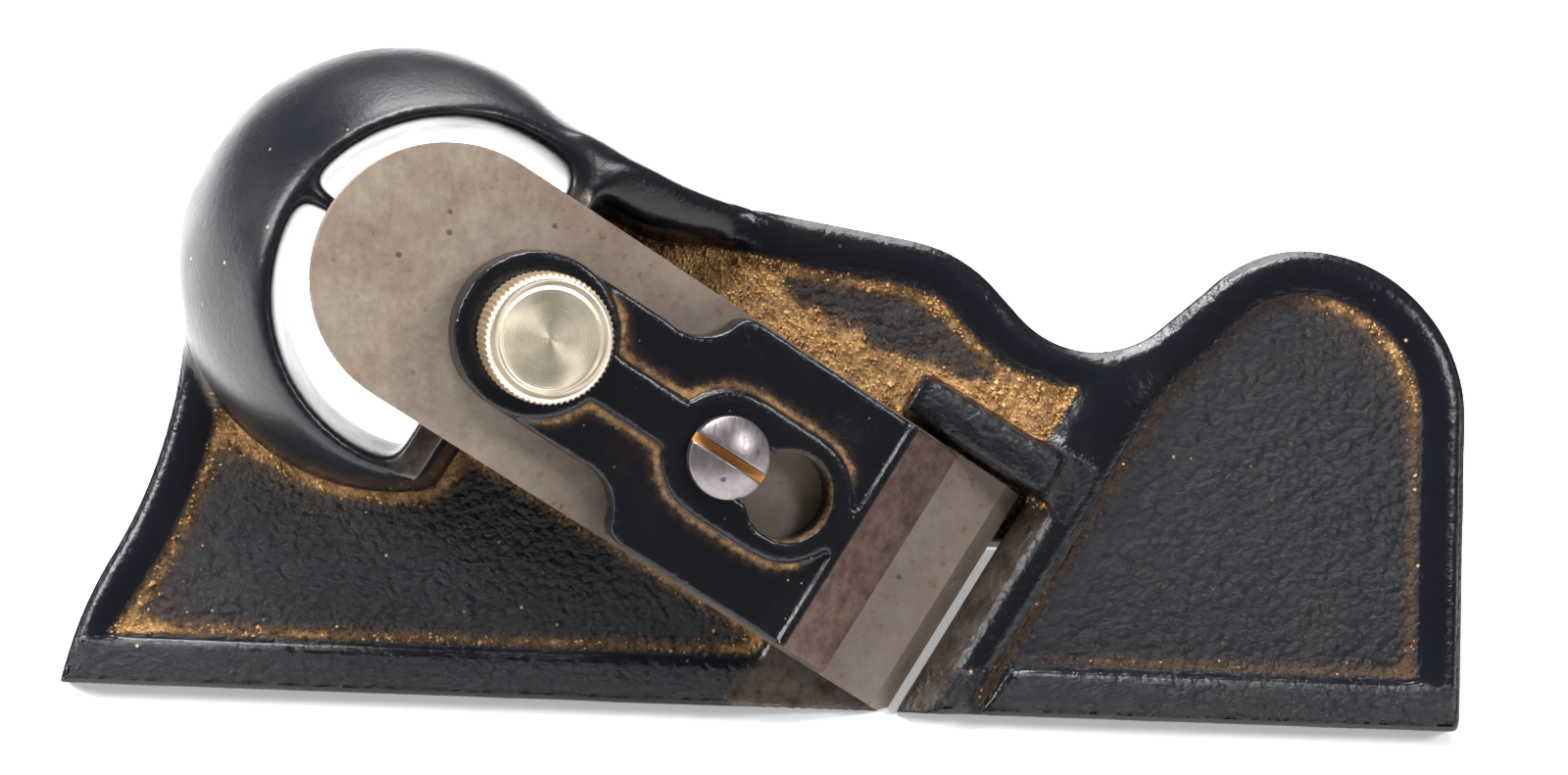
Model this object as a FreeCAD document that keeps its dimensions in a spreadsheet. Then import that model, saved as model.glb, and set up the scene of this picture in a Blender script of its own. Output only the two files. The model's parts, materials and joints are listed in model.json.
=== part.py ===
import FreeCAD, Part
import math
import os
import re

import Sketcher

# Edge-trimming hand plane: an iron side plate with a palm ring, a sole with a fence at right angles behind it,
# and a skewed, low-angle cutter held by a lever cap.
#
# Tool frame, used for the casting: X runs from heel to toe, Y up the broad face from its lower edge, Z out of the
# broad face. Z = 0 is the sole, and the fence hangs below it.
# Bed frame, used for the cutter and what holds it: the origin is the middle of the bed's front end at the sole,
# X runs down the bed to the mouth, Y across it and Z out of it.

# name, size (mm, or degrees for angles), what it is
SIZES = [
    ("plane_length", 152.4, "heel to toe, six inches"),
    ("sole_width", 19.05, "sole from its free edge to the fence, three quarters of an inch"),
    ("rim_height", 5.0, "sole to the top of the rims"),
    ("field_height", 3.6, "sole to the recessed fields"),
    ("rim_slope", 1.4, "width of the slope from a rim to a field"),
    ("lower_rim", 4.6, "width of the rim along the sole's free edge"),
    ("side_rim", 4.0, "width of the other rims"),
    ("fence_thick", 6.4, "thickness of the fence"),
    ("fence_depth", 22.2, "depth of the fence below the sole, seven eighths of an inch"),
    ("fence_heel", 11.0, "heel to the near end of the fence"),
    ("fence_corner", 7.0, "corner radius of the fence"),
    ("block_hole", 4.4, "bore of the two holes that hold a bevel block on the fence"),
    ("block_hole_drop", 11.5, "sole to the axes of those holes"),
    ("block_hole_heel", 38.0, "heel to the first hole"),
    ("block_hole_toe", 28.0, "second hole to the toe"),
    ("skew_angle", 30.0, "cutter axis against the length of the plane"),
    ("bed_angle", 18.0, "bed against the sole"),
    ("edge_across", 97.1, "heel to the middle of the cutting edge"),
    ("edge_up", 11.8, "sole's free edge to the middle of the cutting edge"),
    ("bed_width", 26.4, "width of the raised bed under the cutter"),
    ("bed_reach", 58.8, "cutting edge to the end of the bed, along the sole"),
    ("bed_lip", 1.0, "cutting edge to the front end of the bed, along the sole"),
    ("mouth_gap", 0.6, "cutting edge to the front wall of the mouth"),
    ("mouth_depth", 2.4, "depth below the sole of the pocket in the fence for the cutter's corner"),
    ("bar_width", 6.2, "mouth to the field behind the front bar"),
    ("bar_height", 5.4, "sole to the top of the front bar"),
    ("bar_nose", 1.0, "height of the upright part of the mouth's front wall"),
    ("bar_flank", 3.8, "width of the bar's slope above the mouth"),
    ("bar_ridge", 1.2, "width of the flat on top of the bar"),
    ("lug_width", 5.2, "width of the lug beside the cutter"),
    ("lug_length", 16.2, "length of the lug"),
    ("lug_height", 8.0, "sole to the top of the lug"),
    ("lug_clearance", 0.45, "cutter to the lug"),
    ("heel_waist_across", 5.5, "heel to the bend in the heel's edge"),
    ("heel_waist_up", 15.0, "free edge to the bend in the heel's edge"),
    ("hump_across", 34.9, "heel to the centre of the palm ring's foot"),
    ("hump_up", 46.3, "free edge to the centre of the palm ring's foot"),
    ("hump_radius", 24.3, "radius of the palm ring's foot"),
    ("hump_waist", 12.0, "sole to the middle section of the palm ring"),
    ("hump_waist_radius", 23.5, "radius of the middle section"),
    ("hump_lean_across", 1.4, "shift of the middle section towards the toe"),
    ("hump_lean_down", 0.3, "shift of the middle section towards the sole's free edge"),
    ("crest_back", 65.5, "cutting edge to the centre of the ring's crest, up the bed"),
    ("crest_side", -1.2, "centre of the crest across the bed"),
    ("crest_radius", 19.7, "outer radius of the ring's crest"),
    ("crest_wall", 0.9, "thickness of the ring at its crest"),
    ("limb_reach", 55.2, "cutting edge to the ends of the ring's limbs, along the sole"),
    ("limb_foot", 38.0, "cutting edge to the foot of the upper limb, along the sole"),
    ("eye_across", 40.7, "heel to the centre of the palm opening"),
    ("eye_up", 43.7, "free edge to the centre of the palm opening"),
    ("eye_radius", 17.0, "radius of the palm opening at its narrowest"),
    ("eye_height", 10.0, "sole to the narrowest part of the opening"),
    ("hollow_across", 38.2, "heel to the centre of the finger hollow behind the ring"),
    ("hollow_up", 44.9, "free edge to the centre of the finger hollow"),
    ("hollow_radius", 19.8, "radius of the finger hollow"),
    ("hollow_height", 4.0, "sole to the straight part of the finger hollow"),
    ("rib_width", 2.0, "width of the rib under the tail of the cutter"),
    ("rib_depth", 6.0, "depth of that rib"),
    ("rim_dip_across", 111.3, "heel to the centre of the dip in the upper edge"),
    ("rim_dip_up", 51.2, "free edge to the centre of that dip"),
    ("rim_dip_radius", 11.0, "radius of that dip"),
    ("horn_height", 52.3, "free edge to the top of the horn"),
    ("horn_radius", 18.15, "radius of the horn towards the toe"),
    ("horn_heel_radius", 14.6, "radius of the horn towards the heel"),
    ("shoulder_radius", 16.4, "radius of the shoulder between the dip and the long upper edge"),
    ("cutter_width", 28.4, "width of the cutter"),
    ("cutter_length", 81.0, "length of the cutter"),
    ("cutter_thick", 2.0, "thickness of the cutter"),
    ("cutter_bevel", 2.6, "length of the ground bevel"),
    ("cutter_edge_land", 0.06, "thickness left at the cutting edge"),
    ("cutter_setback", 0.35, "cutting edge behind the sole, up the bed"),
    ("cutter_clip_side", 0.9, "corner clipped off the cutter across its edge"),
    ("cutter_clip_long", 1.5, "corner clipped off the cutter along its side"),
    ("cutter_slot_width", 6.6, "width of the cutter's slot"),
    ("cutter_slot_front", 0.9, "play of the cap screw at the front end of the slot"),
    ("cutter_slot_length", 16.0, "length of the slot behind the cap screw"),
    ("cap_inset", 0.4, "side of the cutter to the side of the lever cap"),
    ("cap_nose", 9.8, "cutting edge to the nose of the cap"),
    ("cap_bevel", 6.6, "length of the cap's bare nose bevel"),
    ("cap_nose_thick", 0.6, "thickness of the cap at its nose"),
    ("cap_thick", 3.6, "thickness of the cap in its panels"),
    ("cap_relief", 0.8, "height of the spine and bosses above the panels"),
    ("cap_border", 0.9, "width of the raised border between the nose bevel and the panels"),
    ("cap_shoulder", 39.0, "cutting edge to the shoulders of the cap"),
    ("cap_neck_start", 45.8, "cutting edge to the neck of the cap"),
    ("cap_neck_width", 17.4, "width of the neck"),
    ("cap_shoulder_round", 1.6, "radius of the shoulder corners"),
    ("cap_spine_width", 5.2, "width of the spine"),
    ("cap_ring_radius", 7.0, "outer radius of the boss round the keyhole"),
    ("keyhole_radius", 4.75, "radius of the wide end of the keyhole"),
    ("keyhole_slot", 6.1, "width of the narrow end of the keyhole"),
    ("keyhole_travel", 8.2, "travel of the cap between clamped and free"),
    ("cap_screw_back", 32.9, "cutting edge to the axis of the cap screw"),
    ("cap_screw_head", 4.45, "radius of the cap screw's head"),
    ("cap_screw_dome", 1.5, "height of the dome"),
    ("cap_screw_rim", 1.2, "height of the head below the dome"),
    ("cap_screw_shank", 2.75, "radius of the cap screw's shank"),
    ("cap_screw_depth", 8.2, "length of shank in the bed"),
    ("cap_screw_slot", 1.1, "width of the driver slot"),
    ("cap_screw_slot_deep", 1.3, "depth of the driver slot"),
    ("thumb_back", 57.0, "cutting edge to the axis of the thumb screw"),
    ("thumb_radius", 6.75, "radius of the thumb screw's head"),
    ("thumb_height", 5.6, "height of the thumb screw's head"),
    ("thumb_gap", 1.2, "cap to the underside of the head"),
    ("thumb_edge", 0.6, "chamfer on the head"),
    ("thumb_neck", 3.6, "radius of the collar under the head"),
    ("thumb_dish", 0.35, "depth of the turned recess in the top of the head"),
    ("thumb_dish_radius", 5.3, "radius of that recess"),
    ("thumb_stud", 2.4, "radius of the thumb screw's stud"),
    ("stud_grip", 3.4, "length of stud held inside the head"),
    ("thread_clearance", 0.05, "radial clearance of a thread in its hole"),
]
NAMES = {name for name, number, note in SIZES}

doc = FreeCAD.newDocument("hand_plane")
sheet = doc.addObject("Spreadsheet::Sheet", "Sizes")
for row, (name, number, note) in enumerate(SIZES, start=1):
    sheet.set(f"A{row}", name)
    sheet.set(f"B{row}", str(number))
    sheet.set(f"C{row}", note)
    sheet.setAlias(f"B{row}", name)
doc.recompute()


# Helpers --------------------------------------------------------------------------------------------------------

def linked(text):
    """An expression with the names of sizes turned into references to the sheet."""
    return re.sub(r"[a-z]\w*", lambda word: f"Sizes.{word[0]}" if word[0] in NAMES else word[0], text)


def size(text):
    """The number that an expression of sizes stands for."""
    return float(sheet.evalExpression(linked(text)))


def place(across="0", up="0", out="0", yaw=0.0, pitch=0.0, roll=0.0):
    """A placement from three expressions and three angles in degrees."""
    return FreeCAD.Placement(FreeCAD.Vector(size(across), size(up), size(out)), FreeCAD.Rotation(yaw, pitch, roll))


SKEW = place("edge_across", "edge_up", yaw=-size("skew_angle"))
BED = place("edge_across", "edge_up", yaw=-size("skew_angle"), pitch=size("bed_angle"))
UPRIGHT = place(roll=90.0)


def bind(thing, **expressions):
    """Bind an object's sizes to expressions of the sheet."""
    for prop, text in expressions.items():
        thing.setExpression(prop, linked(text))
    return thing


def pin(sketch, kind, *where, to):
    """Add one dimension to a sketch and bind it to an expression."""
    number = sketch.addConstraint(Sketcher.Constraint(kind, *where, size(to)))
    sketch.setExpression(f"Constraints[{number}]", linked(to))


def bulge(start, end, radius):
    """The middle of the short arc from start to end: a positive radius turns left, a negative one right."""
    chord = end - start
    half = chord.Length / 2
    rise = abs(radius) - math.sqrt(radius ** 2 - half ** 2)
    outward = FreeCAD.Vector(chord.y, -chord.x, 0).normalize()
    return (start + end) / 2 + outward * math.copysign(rise, radius)


def draw_outline(sketch, corners):
    """Close an outline through corners (x, y) or (x, y, radius), where the radius is that of the arc to there."""
    points = [FreeCAD.Vector(size(corner[0]), size(corner[1]), 0) for corner in corners]
    first = sketch.GeometryCount
    tails = []
    heads = []
    for index, corner in enumerate(corners):
        start, end = points[index - 1], points[index]
        if len(corner) == 2:
            sketch.addGeometry(Part.LineSegment(start, end))
        else:
            ends = (start, end) if size(corner[2]) > 0 else (end, start)
            middle = bulge(start, end, size(corner[2]))
            sketch.addGeometry(Part.Arc(ends[0], middle, ends[1]))
        turned = len(corner) == 3 and size(corner[2]) < 0
        tails.append(2 if turned else 1)
        heads.append(1 if turned else 2)
    count = len(corners)
    for index, corner in enumerate(corners):
        following = (index + 1) % count
        sketch.addConstraint(Sketcher.Constraint(
            "Coincident", first + index, heads[index], first + following, tails[following]))
    for index, corner in enumerate(corners):
        pin(sketch, "DistanceX", -1, 1, first + index, heads[index], to=corner[0])
        pin(sketch, "DistanceY", -1, 1, first + index, heads[index], to=corner[1])
        if len(corner) == 3:
            pin(sketch, "Radius", first + index, to=f"abs({corner[2]})")


def draw_circle(sketch, across, up, radius):
    """A circle with its centre and radius bound."""
    centre = FreeCAD.Vector(size(across), size(up), 0)
    number = sketch.addGeometry(Part.Circle(centre, FreeCAD.Vector(0, 0, 1), size(radius)))
    pin(sketch, "DistanceX", -1, 1, number, 3, to=across)
    pin(sketch, "DistanceY", -1, 1, number, 3, to=up)
    pin(sketch, "Radius", number, to=radius)


def free_sketch(name, where):
    """A sketch that stands by itself at a placement."""
    sketch = doc.addObject("Sketcher::SketchObject", name)
    sketch.Placement = where
    return sketch


def extrusion(name, corners, where, ahead, behind="0"):
    """A closed outline extruded along its normal, ahead of and behind its plane."""
    sketch = free_sketch(f"{name}_outline", where)
    draw_outline(sketch, corners)
    solid = doc.addObject("Part::Extrusion", name)
    solid.Base = sketch
    solid.DirMode = "Normal"
    solid.Solid = True
    return bind(solid, LengthFwd=ahead, LengthRev=behind)


def box(name, where, across, up, out):
    """A box in a frame, from (low, high) expressions along each axis."""
    solid = doc.addObject("Part::Box", name)
    corner = place(across[0], up[0], out[0])
    solid.Placement = where.multiply(corner)
    return bind(solid, Length=f"{across[1]} - ({across[0]})", Width=f"{up[1]} - ({up[0]})",
                Height=f"{out[1]} - ({out[0]})")


def loft(name, sections):
    """A solid through circles, each (placement, x, y, radius)."""
    sketches = []
    for number, (where, across, up, radius) in enumerate(sections):
        sketch = free_sketch(f"{name}_section_{number}", where)
        draw_circle(sketch, across, up, radius)
        sketches.append(sketch)
    solid = doc.addObject("Part::Loft", name)
    solid.Sections = sketches
    solid.Solid = True
    return solid


def joined(name, *pieces):
    """One solid from several that overlap."""
    solid = doc.addObject("Part::MultiFuse", name)
    solid.Shapes = list(pieces)
    solid.Refine = True
    return solid


def shared(name, *pieces):
    """What several solids have in common."""
    solid = doc.addObject("Part::MultiCommon", name)
    solid.Shapes = list(pieces)
    return solid


def cut_from(name, base, *tools):
    """A solid with others taken out of it."""
    solid = doc.addObject("Part::Cut", name)
    solid.Base = base
    solid.Tool = tools[0] if len(tools) == 1 else joined(f"{name}_tools", *tools)
    solid.Refine = True
    return solid


def origin_plane(body, role):
    """One of a body's own origin planes."""
    return next(plane for plane in body.Origin.OriginFeatures if plane.Role == role)


def body_sketch(body, name, role, out="0"):
    """A sketch on one of a body's origin planes, raised by an expression."""
    sketch = body.newObject("Sketcher::SketchObject", name)
    sketch.AttachmentSupport = (origin_plane(body, role), [""])
    sketch.MapMode = "FlatFace"
    sketch.setExpression("AttachmentOffset.Base.z", linked(out))
    return sketch


def pad(body, sketch, length):
    """Pad a sketch out of its plane."""
    feature = body.newObject("PartDesign::Pad", f"{sketch.Name}_pad")
    feature.Profile = sketch
    return bind(feature, Length=length)


def pocket(body, sketch, length, middle=False, reverse=False):
    """Pocket a sketch into the body, to one side of its plane or evenly to both."""
    feature = body.newObject("PartDesign::Pocket", f"{sketch.Name}_pocket")
    feature.Profile = sketch
    feature.Midplane = middle
    feature.Reversed = reverse
    return bind(feature, Length=length)


def revolved(body, name, corners):
    """A half profile turned round the body's Z axis."""
    sketch = body_sketch(body, name, "XZ_Plane")
    draw_outline(sketch, corners)
    feature = body.newObject("PartDesign::Revolution", f"{name}_turned")
    feature.Profile = sketch
    feature.ReferenceAxis = (sketch, ["V_Axis"])
    feature.Angle = 360.0
    return feature


# Casting --------------------------------------------------------------------------------------------------------

HORN_UP = "(horn_height - horn_radius)"
LIMB_TOP = "(limb_reach * tan(bed_angle))"
FENCE_TOP = "(sole_width + fence_thick)"


def edge_outline():
    """The plane's outline on the broad face, anticlockwise from the heel's corner."""
    dip_side = "rim_dip_radius * cos(45)"
    return [
        ("0", "0", "46"),
        ("plane_length", "0"),
        ("plane_length", HORN_UP),
        ("plane_length - horn_radius", "horn_height", "horn_radius"),
        ("plane_length - 28.8", "horn_height - 4.9", "horn_heel_radius"),
        (f"rim_dip_across + {dip_side}", f"rim_dip_up - {dip_side}"),
        (f"rim_dip_across - {dip_side}", f"rim_dip_up - {dip_side}", "-rim_dip_radius"),
        ("rim_dip_across - 10.5", "rim_dip_up - 4.9"),
        ("rim_dip_across - 20.3", "rim_dip_up + 0.6", "shoulder_radius"),
        ("rim_dip_across - 39.3", "rim_dip_up + 3.7"),
        ("hump_across + hump_radius * cos(48)", "hump_up + hump_radius * sin(48)", "-40"),
        ("hump_across + hump_radius * cos(196.5)", "hump_up + hump_radius * sin(196.5)", "hump_radius"),
        ("heel_waist_across", "heel_waist_up", "-54"),
    ]


def heel_field_outline():
    """The floor of the field on the heel's side of the front bar, with the bed and the ring's foot over it."""
    inset = "(side_rim + rim_slope)"
    dip = f"(rim_dip_radius + {inset})"
    low = "lower_rim + rim_slope"
    skew_x = "edge_across - {0} * cos(skew_angle) + {1} * sin(skew_angle)"
    skew_y = "edge_up + {0} * sin(skew_angle) + {1} * cos(skew_angle)"
    return [
        (f"{inset} + 0.6", low),
        ("edge_across - 21.8", low),
        (skew_x.format(16, 10), skew_y.format(16, 10)),
        (skew_x.format("bed_lip", 10), skew_y.format("bed_lip", 10)),
        (skew_x.format("bed_lip", 27), skew_y.format("bed_lip", 27)),
        (f"rim_dip_across - {dip} * sin(40)", f"rim_dip_up - {dip} * cos(40)", f"-{dip}"),
        ("rim_dip_across - 14.4", "rim_dip_up - 9.0"),
        ("rim_dip_across - 21.2", "rim_dip_up - 4.9", f"shoulder_radius - {inset}"),
        ("rim_dip_across - 40.2", "rim_dip_up - 1.8"),
        ("hump_across + 12", "hump_up + 12"),
        ("hump_across - hump_radius + 6.5", "hump_up - 7"),
        (f"heel_waist_across + {inset} - 0.2", "heel_waist_up - 1", "-59"),
    ]


def toe_field_outline():
    """The floor of the field between the front bar, the horn and the toe."""
    inset = "(side_rim + rim_slope)"
    low = "lower_rim + rim_slope"
    behind_bar = "edge_across + (mouth_gap + bar_width) * cos(skew_angle) + {0} * sin(skew_angle)"
    beside_bar = "edge_up - (mouth_gap + bar_width) * sin(skew_angle) + {0} * cos(skew_angle)"
    corner = f"(({low} - edge_up + (mouth_gap + bar_width) * sin(skew_angle)) / cos(skew_angle))"
    return [
        (behind_bar.format(corner), beside_bar.format(corner)),
        (f"plane_length - {inset}", low),
        (f"plane_length - {inset}", HORN_UP),
        ("plane_length - horn_radius", f"horn_height - {inset}", f"horn_radius - {inset}"),
        ("plane_length - 25.0", "horn_height - 8.6", f"horn_heel_radius - {inset}"),
        ("plane_length - 31.6", "horn_height - 15.4"),
        (behind_bar.format(28.2), beside_bar.format(28.2)),
    ]


def field(name, corners):
    """The room over a field: its floor, with sloping sides up to the rims."""
    solid = extrusion(name, corners, place(out="field_height"), "rim_height - field_height + 0.01")
    return bind(solid, TaperAngle="atan(rim_slope / (rim_height - field_height))")


def bar_profile():
    """The front bar across its length, from the mouth's front wall to the field."""
    front = "mouth_gap"
    return [
        (front, "0"),
        (f"{front} + bar_width + 1", "0"),
        (f"{front} + bar_width + 1", "field_height - 0.6"),
        (f"{front} + bar_flank + bar_ridge", "bar_height"),
        (f"{front} + bar_flank", "bar_height"),
        (front, "bar_nose"),
    ]


def bar_root_profile():
    """The front bar above the cutter's corner, where it is filled out towards the heel."""
    front = "mouth_gap"
    return [
        ("-bed_lip - 0.8", "0"),
        (f"{front} + bar_flank + bar_ridge", "0"),
        (f"{front} + bar_flank + bar_ridge", "bar_height"),
        ("-bed_lip + 1.4", "bar_height"),
        ("-bed_lip - 0.8", "field_height - 0.2"),
    ]


def bed_profile():
    """The bed along the cutter: a wedge that rises from the mouth to the palm opening."""
    return [
        ("-bed_reach", "0"),
        ("-bed_lip", "0"),
        ("-bed_lip", "bed_lip * tan(bed_angle)"),
        ("-bed_reach", "bed_reach * tan(bed_angle)"),
    ]


def palm_ring():
    """The ring that the palm presses on, which leans over the tail of the cutter."""
    turn = -size("skew_angle")
    foot = place("hump_across", "hump_up", yaw=turn)
    waist = place("hump_across + hump_lean_across", "hump_up - hump_lean_down", "hump_waist", yaw=turn)
    ring = loft("palm_ring", [
        (foot, "0", "0", "hump_radius"),
        (waist, "0", "0", "hump_waist_radius"),
        (BED, "-crest_back", "crest_side", "crest_radius"),
    ])
    tail_side = box("ring_side", SKEW, ("-bed_reach - 40", "-limb_reach"), ("-40", "40"), ("0", "40"))
    above_crest = box("above_crest", BED, ("-bed_reach - 40", "0"), ("-40", "40"), ("0", "30"))
    return cut_from("ring_below_crest", shared("ring_limbs", ring, tail_side), above_crest)


def upper_limb():
    """The ring's upper limb, which falls from the crest to the long upper rim."""
    plan = extrusion("limb_plan", [
        ("-limb_reach - 6", "bed_width / 2 + 2.9"),
        ("-limb_reach + 5", "bed_width / 2 + 3.1"),
        ("-limb_foot - 2", "bed_width / 2 + 8"),
        ("-limb_foot", "bed_width / 2 + 14"),
        ("-limb_reach - 6", "bed_width / 2 + 14"),
    ], SKEW, "30")
    slope = extrusion("limb_slope", [
        ("-limb_reach - 6", "0"),
        ("-limb_foot", "0"),
        ("-limb_foot", "rim_height - 0.1"),
        ("-limb_foot - 4", "rim_height + 0.8"),
        ("-limb_reach", f"{LIMB_TOP} - 0.6"),
        ("-limb_reach - 6", f"{LIMB_TOP} + 1.2"),
    ], SKEW.multiply(UPRIGHT), "0", "40")
    return shared("upper_limb", plan, slope)


def palm_opening():
    """The opening inside the ring: a funnel to its narrowest height, and a finger hollow behind that."""
    turn = -size("skew_angle")
    above_crest = BED.multiply(place(out="1"))
    narrow = place("eye_across", "eye_up", "eye_height", yaw=turn)
    funnel = loft("eye_funnel", [
        (above_crest, "-crest_back", "crest_side", "crest_radius - crest_wall"),
        (narrow, "0", "0", "eye_radius"),
    ])
    wide = place("hollow_across", "hollow_up", "hollow_height", yaw=turn)
    flare = loft("hollow_flare", [(narrow, "0", "0", "eye_radius"), (wide, "0", "0", "hollow_radius")])
    back = doc.addObject("Part::Cylinder", "hollow_back")
    back.Placement = place("hollow_across", "hollow_up", "-1")
    bind(back, Radius="hollow_radius", Height="hollow_height + 1")
    tail_side = box("eye_side", SKEW, ("-bed_reach - 40", "-bed_reach"), ("-40", "40"), ("-2", "40"))
    return shared("palm_opening", joined("eye_tools", funnel, flare, back), tail_side)


def fence():
    """The fence below the sole, with its two holes for a bevel block."""
    far = "-fence_depth"
    root = "bed_lip * tan(bed_angle) / 2"
    upright = place("0", "sole_width + fence_thick", "0", roll=90.0)
    plate = extrusion("fence_plate", [
        ("fence_heel", root),
        ("fence_heel", f"{far} + fence_corner"),
        ("fence_heel + fence_corner", far, "fence_corner"),
        ("plane_length - fence_corner", far),
        ("plane_length", f"{far} + fence_corner", "fence_corner"),
        ("plane_length", root),
    ], upright, "fence_thick")
    holes = []
    for end, across in (("heel", "block_hole_heel"), ("toe", "plane_length - block_hole_toe")):
        hole = doc.addObject("Part::Cylinder", f"block_hole_{end}")
        hole.Placement = place(across, "sole_width + fence_thick + 1", "-block_hole_drop", roll=90.0)
        holes.append(bind(hole, Radius="block_hole / 2", Height="fence_thick + 2"))
    return cut_from("fence", plate, *holes)


def casting():
    """The whole iron body."""
    plate = extrusion("side_plate", edge_outline(), place(), "rim_height")
    above_bed = box("above_bed", BED, ("-bed_reach", "mouth_gap + bar_width"),
                    ("-40", "cutter_width / 2 + lug_clearance"), ("0", "30"))
    recessed = cut_from("recessed_plate", plate, field("heel_field", heel_field_outline()),
                        field("toe_field", toe_field_outline()), above_bed)
    half = "bed_width / 2"
    bed = extrusion("bed", bed_profile(), SKEW.multiply(UPRIGHT), half, half)
    bar = extrusion("front_bar", bar_profile(), SKEW.multiply(UPRIGHT), "18", "31")
    bar_root = extrusion("front_bar_root", bar_root_profile(), SKEW.multiply(UPRIGHT),
                         "-(cutter_width / 2 + lug_clearance)", "31")
    lug_side = "cutter_width / 2 + lug_clearance"
    lug = box("lug", SKEW, ("-lug_length", "mouth_gap + 1"), (lug_side, f"{lug_side} + lug_width"),
              ("0", "lug_height"))
    rough = joined("rough_body", recessed, bed, bar, bar_root, lug, palm_ring(), upper_limb())
    footprint = extrusion("footprint", edge_outline(), place(), "40")
    trimmed = shared("trimmed_body", rough, footprint)
    opened = cut_from("opened_body", trimmed, palm_opening())
    rib = box("tail_rib", BED, ("-crest_back - crest_radius + 0.7", "-bed_reach / cos(bed_angle) + 1"),
              ("-rib_width / 2", "rib_width / 2"), ("-rib_depth", "-0.1"))
    mouth = box("mouth", SKEW, ("-bed_lip", "mouth_gap"), ("-40", lug_side), ("-mouth_depth", "20"))
    thread = doc.addObject("Part::Cylinder", "cap_screw_thread")
    thread.Placement = BED.multiply(place("-cap_screw_back", "0", "-cap_screw_depth - 0.4"))
    bind(thread, Radius="cap_screw_shank + thread_clearance", Height="cap_screw_depth + 1")
    core = extrusion("bed_core", [
        ("-bed_reach + 4", "-1"),
        ("-bed_reach + 21", "-1"),
        ("-bed_reach + 21", "(bed_reach - 21) * tan(bed_angle) - 4"),
        ("-bed_reach + 4", "(bed_reach - 4) * tan(bed_angle) - 4"),
    ], SKEW.multiply(UPRIGHT), "1", "bed_width / 2 - 3.5")
    return cut_from("plane_body", joined("ribbed_body", opened, rib, fence()), mouth, thread, core)


# Cutter and what holds it ---------------------------------------------------------------------------------------

CAP_TOP = "(cap_thick + cap_relief)"


def cutter():
    """The blade, with its bevel upwards and its tail rounded."""
    body = doc.addObject("PartDesign::Body", "cutter")
    half = "cutter_width / 2"
    blank = body_sketch(body, "cutter_blank", "XY_Plane")
    draw_outline(blank, [
        ("0", f"-{half} + cutter_clip_side"),
        ("0", f"{half} - 0.4"),
        ("-0.4", half),
        (f"-cutter_length + {half}", half),
        ("-cutter_length", "0", half),
        (f"-cutter_length + {half}", f"-{half}", half),
        ("-cutter_clip_long", f"-{half}"),
    ])
    pad(body, blank, "cutter_thick")
    ground = body_sketch(body, "cutter_ground", "XZ_Plane")
    draw_outline(ground, [
        ("1", "cutter_edge_land"),
        ("1", "cutter_thick + 1"),
        ("-cutter_bevel", "cutter_thick + 1"),
        ("-cutter_bevel", "cutter_thick"),
        ("0", "cutter_edge_land"),
    ])
    pocket(body, ground, "cutter_width + 2", middle=True)
    slot = body_sketch(body, "cutter_slot", "XY_Plane", "cutter_thick")
    front = "-cap_screw_back + cutter_setback + cutter_slot_front"
    back = "-cap_screw_back + cutter_setback - cutter_slot_length"
    draw_outline(slot, [
        (front, "-cutter_slot_width / 2"),
        (f"{front} + cutter_slot_width / 2", "0", "cutter_slot_width / 2"),
        (front, "cutter_slot_width / 2", "cutter_slot_width / 2"),
        (back, "cutter_slot_width / 2"),
        (f"{back} - cutter_slot_width / 2", "0", "cutter_slot_width / 2"),
        (back, "-cutter_slot_width / 2", "cutter_slot_width / 2"),
    ])
    pocket(body, slot, "cutter_thick + 1")
    return body, BED.multiply(place("-cutter_setback"))


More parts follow.
